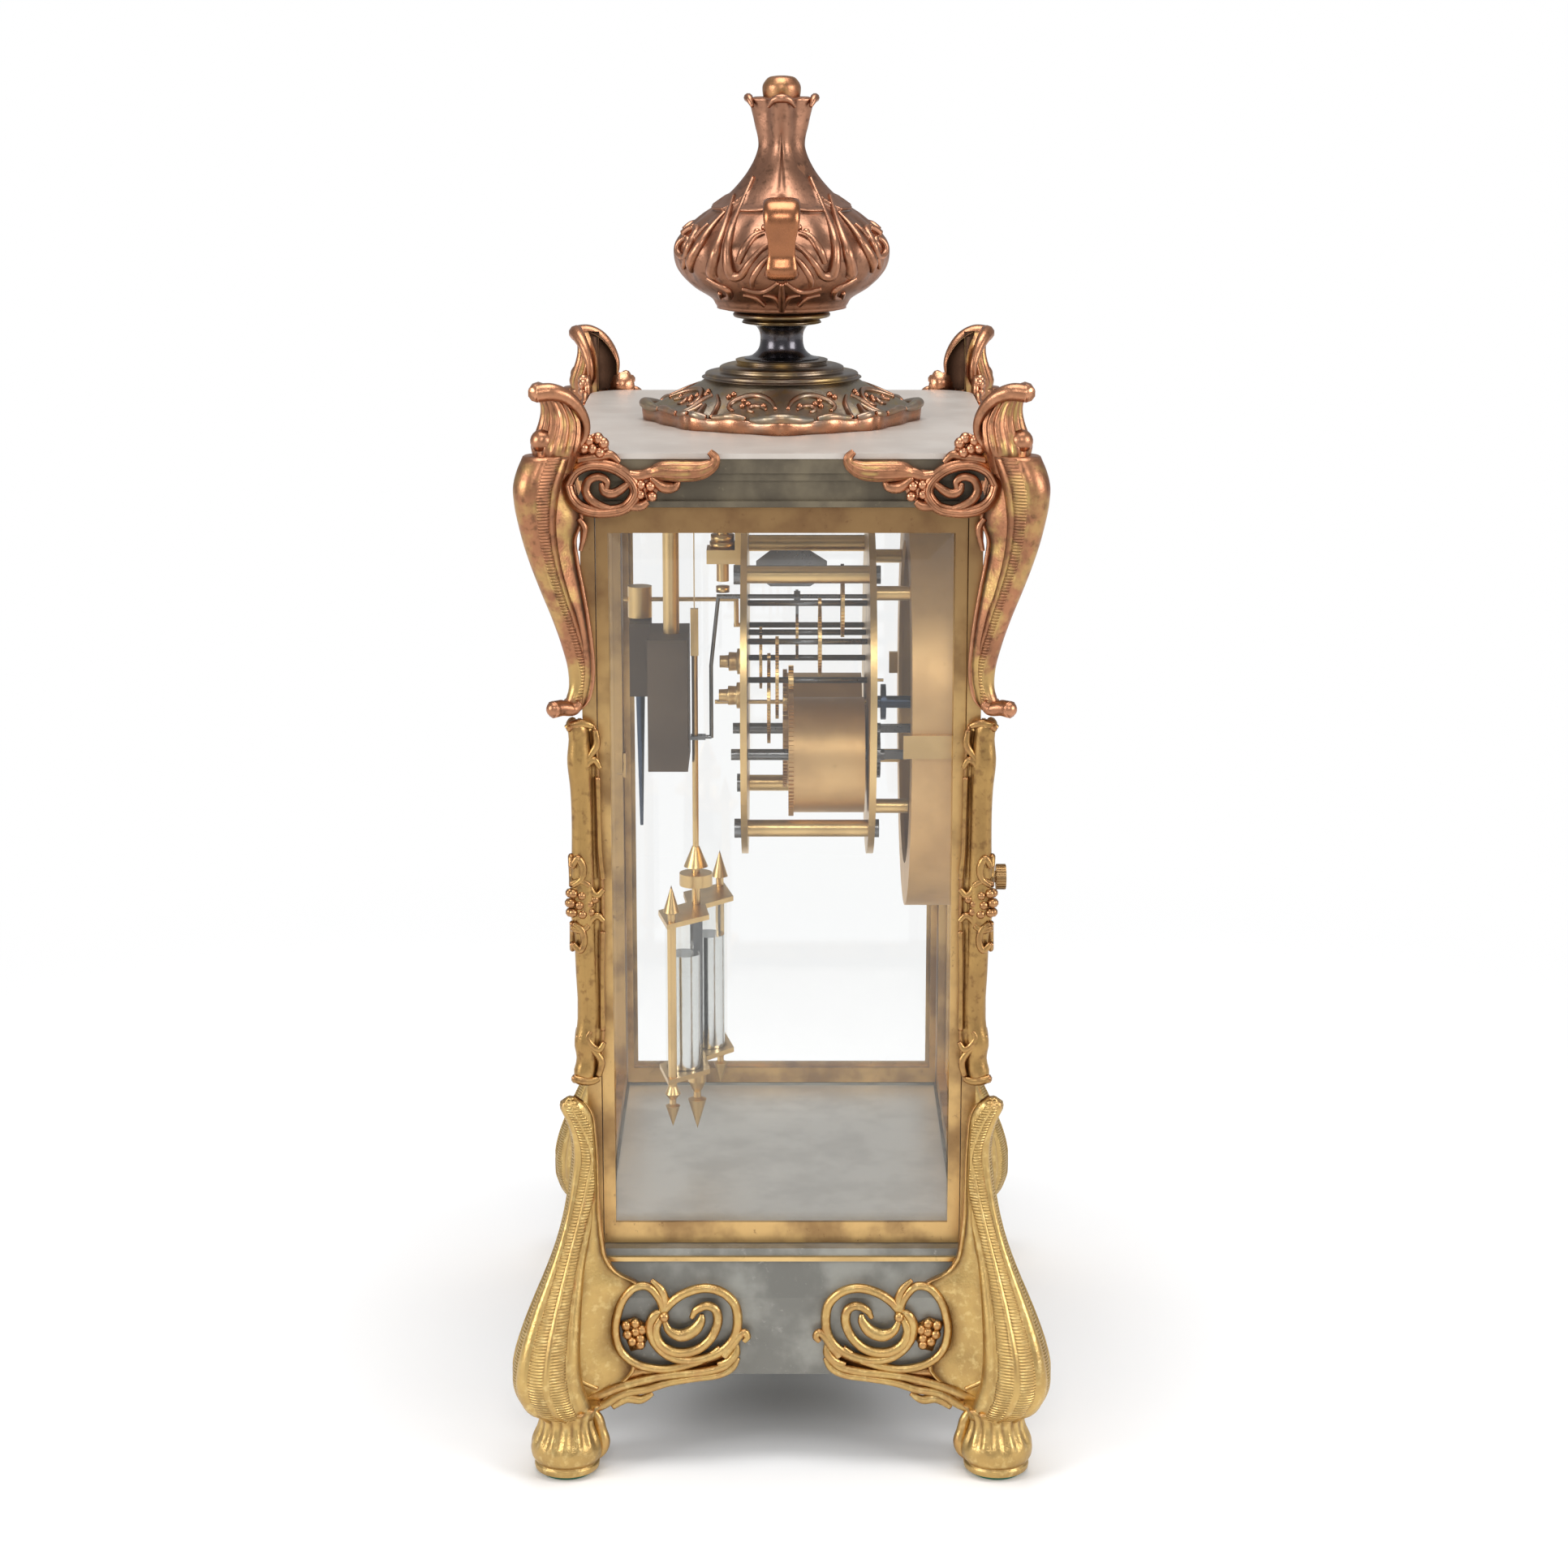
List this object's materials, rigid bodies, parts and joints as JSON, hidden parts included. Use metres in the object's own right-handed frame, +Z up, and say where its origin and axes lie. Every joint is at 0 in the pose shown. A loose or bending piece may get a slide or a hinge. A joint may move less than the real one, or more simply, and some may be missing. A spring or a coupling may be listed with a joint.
{
  "type": "crystal regulator mantel clock",
  "caption": "Four-glass mantel clock with cast scroll mounts, an urn finial, hinged glazed doors, striking movement and mercury pendulum.",
  "frame": {"origin": "middle of the footprint, at the level of the table under the felt pads", "axes": "+Z up; the dial and front door face -Y; +X is the right-hand side of the dial as its owner sees it"},
  "size_m": [0.24, 0.184, 0.47],
  "materials": {
    "aged_gilt": "worn gilt over brown patina",
    "copper_bronze": "copper-bronze patina, rubbed highlights",
    "case_brass": "aged brass, satin",
    "grey_patina": "dark grey patina",
    "top_bronze": "warm grey-brown satin",
    "gunmetal": "polished near-black",
    "felt": "green felt",
    "glass": "bevelled clear",
    "movement_brass": "satin brushed",
    "steel": "polished steel",
    "blued_steel": "blued",
    "gong_iron": "brown matte",
    "enamel": "gloss enamel",
    "mercury": "liquid metal"
  },
  "bodies": {
    "case": {"back_plate": "movement_brass", "base_floor": "grey_patina", "base_moulding": "case_brass", "base_plinth": "grey_patina", "corner_posts": "case_brass", "cornice": "grey_patina", "dial_drum": "movement_brass", "dial_face": "enamel", "drum_clamps": "movement_brass", "drum_posts": "movement_brass", "felt_pads": "felt", "finial_skirt": "copper_bronze", "finial_stem": "gunmetal", "front_plate": "movement_brass", "gong_block": "gong_iron", "gong_post": "movement_brass", "gong_rod": "blued_steel", "hinge_pins": "steel", "left_side_frame": "case_brass", "left_side_glass": "glass", "lower_mounts": "aged_gilt", "middle_mounts": "aged_gilt", "movement_pillars": "movement_brass", "pillar_screws": "steel", "right_side_frame": "case_brass", "right_side_glass": "glass", "suspension_cock": "movement_brass", "top_plate": "top_bronze", "upper_mounts": "copper_bronze", "urn": "copper_bronze", "urn_handles": "copper_bronze", "urn_knob": "copper_bronze"},
    "front_door": {"front_door_frame": "case_brass", "front_door_glass": "glass"},
    "front_knob": {"front_door_knob": "case_brass"},
    "rear_door": {"rear_door_frame": "case_brass", "rear_door_glass": "glass"},
    "rear_knob": {"rear_door_knob": "case_brass"},
    "time_barrel": {"time_barrel": "movement_brass", "time_mainspring": "blued_steel"},
    "time_winding": {"time_winding_arbor": "steel"},
    "strike_barrel": {"strike_barrel": "movement_brass", "strike_mainspring": "blued_steel"},
    "strike_winding": {"strike_winding_arbor": "steel"},
    "minute_work": {"centre_wheel": "movement_brass", "minute_hand": "blued_steel"},
    "hour_work": {"hour_hand": "blued_steel"},
    "third_wheel": {"third_wheel": "movement_brass"},
    "escape_wheel": {"escape_wheel": "movement_brass"},
    "anchor": {"anchor": "steel"},
    "pin_wheel": {"pin_wheel": "movement_brass"},
    "locking_wheel": {"locking_wheel": "movement_brass"},
    "warning_wheel": {"warning_wheel": "movement_brass"},
    "fly": {"fly": "steel"},
    "hammer": {"hammer": "movement_brass"},
    "pendulum": {"pendulum_rod": "movement_brass", "bob_frame": "movement_brass", "bob_jars": "glass", "mercury_fill": "mercury"},
    "rating_nut": {"rating_nut": "movement_brass"}
  },
  "joints": [
    {"name": "front_door_hinge", "type": "hinge", "parent": "case", "child": "front_door", "pos_m": [0.07865, -0.06365, 0.2], "axis": [0, 0, 1], "range_deg": [0, 90]},
    {"name": "rear_door_hinge", "type": "hinge", "parent": "case", "child": "rear_door", "pos_m": [-0.07865, 0.06365, 0.2], "axis": [0, 0, 1], "range_deg": [0, 90]},
    {"name": "front_knob_turn", "type": "hinge", "parent": "front_door", "child": "front_knob", "pos_m": [-0.078, -0.0636, 0.2057], "axis": [0, 1, 0], "range_deg": [0, 90]},
    {"name": "rear_knob_turn", "type": "hinge", "parent": "rear_door", "child": "rear_knob", "pos_m": [0.078, 0.0636, 0.2057], "axis": [0, -1, 0], "range_deg": [0, 90]},
    {"name": "minute_turn", "type": "hinge", "parent": "case", "child": "minute_work", "pos_m": [0, 0, 0.25], "axis": [0, 1, 0], "continuous": true},
    {"name": "hour_turn", "type": "hinge", "parent": "case", "child": "hour_work", "pos_m": [0, 0, 0.25], "axis": [0, 1, 0], "continuous": true},
    {"name": "time_barrel_turn", "type": "hinge", "parent": "case", "child": "time_barrel", "pos_m": [0.022, 0, 0.2355], "axis": [0, 1, 0], "continuous": true},
    {"name": "third_turn", "type": "hinge", "parent": "case", "child": "third_wheel", "pos_m": [0.006, 0, 0.265], "axis": [0, 1, 0], "continuous": true},
    {"name": "escape_turn", "type": "hinge", "parent": "case", "child": "escape_wheel", "pos_m": [0, 0, 0.2754], "axis": [0, 1, 0], "continuous": true},
    {"name": "time_winding_turn", "type": "hinge", "parent": "case", "child": "time_winding", "pos_m": [0.022, 0, 0.2355], "axis": [0, 1, 0], "continuous": true},
    {"name": "strike_winding_turn", "type": "hinge", "parent": "case", "child": "strike_winding", "pos_m": [-0.022, 0, 0.2355], "axis": [0, 1, 0], "continuous": true},
    {"name": "pin_wheel_turn", "type": "hinge", "parent": "case", "child": "pin_wheel", "pos_m": [-0.017, 0, 0.2614], "axis": [0, 1, 0], "continuous": true},
    {"name": "strike_barrel_turn", "type": "hinge", "parent": "case", "child": "strike_barrel", "pos_m": [-0.022, 0, 0.2355], "axis": [0, 1, 0], "continuous": true},
    {"name": "locking_turn", "type": "hinge", "parent": "case", "child": "locking_wheel", "pos_m": [-0.021, 0, 0.276], "axis": [0, 1, 0], "continuous": true},
    {"name": "warning_turn", "type": "hinge", "parent": "case", "child": "warning_wheel", "pos_m": [-0.017, 0, 0.289], "axis": [0, 1, 0], "continuous": true},
    {"name": "fly_turn", "type": "hinge", "parent": "case", "child": "fly", "pos_m": [-0.01, 0, 0.3002], "axis": [0, 1, 0], "continuous": true},
    {"name": "hammer_lift", "type": "hinge", "parent": "case", "child": "hammer", "pos_m": [0.033, 0, 0.272], "axis": [0, 1, 0], "range_deg": [0, 14]},
    {"name": "pendulum_swing", "type": "hinge", "parent": "case", "child": "pendulum", "pos_m": [0, 0.0312, 0.32], "axis": [0, 1, 0], "range_deg": [-4, 4]},
    {"name": "anchor_rock", "type": "hinge", "parent": "case", "child": "anchor", "pos_m": [0, 0, 0.2884], "axis": [0, 1, 0], "range_deg": [-6.5, 6.5]},
    {"name": "rating_nut_turn", "type": "hinge", "parent": "pendulum", "child": "rating_nut", "pos_m": [0, 0.0312, 0.184], "axis": [0, 0, 1], "continuous": true}
  ],
  "couplings": [
    {"joint": "hour_turn", "follows": "minute_turn", "ratio": 0.083333},
    {"joint": "time_barrel_turn", "follows": "minute_turn", "ratio": -0.23171},
    {"joint": "third_turn", "follows": "minute_turn", "ratio": -10},
    {"joint": "escape_turn", "follows": "minute_turn", "ratio": 110},
    {"joint": "strike_barrel_turn", "follows": "pin_wheel_turn", "ratio": -0.23171},
    {"joint": "locking_turn", "follows": "pin_wheel_turn", "ratio": -8},
    {"joint": "warning_turn", "follows": "pin_wheel_turn", "ratio": 60},
    {"joint": "fly_turn", "follows": "pin_wheel_turn", "ratio": -480},
    {"joint": "anchor_rock", "follows": "pendulum_swing", "ratio": 1.616}
  ]
}
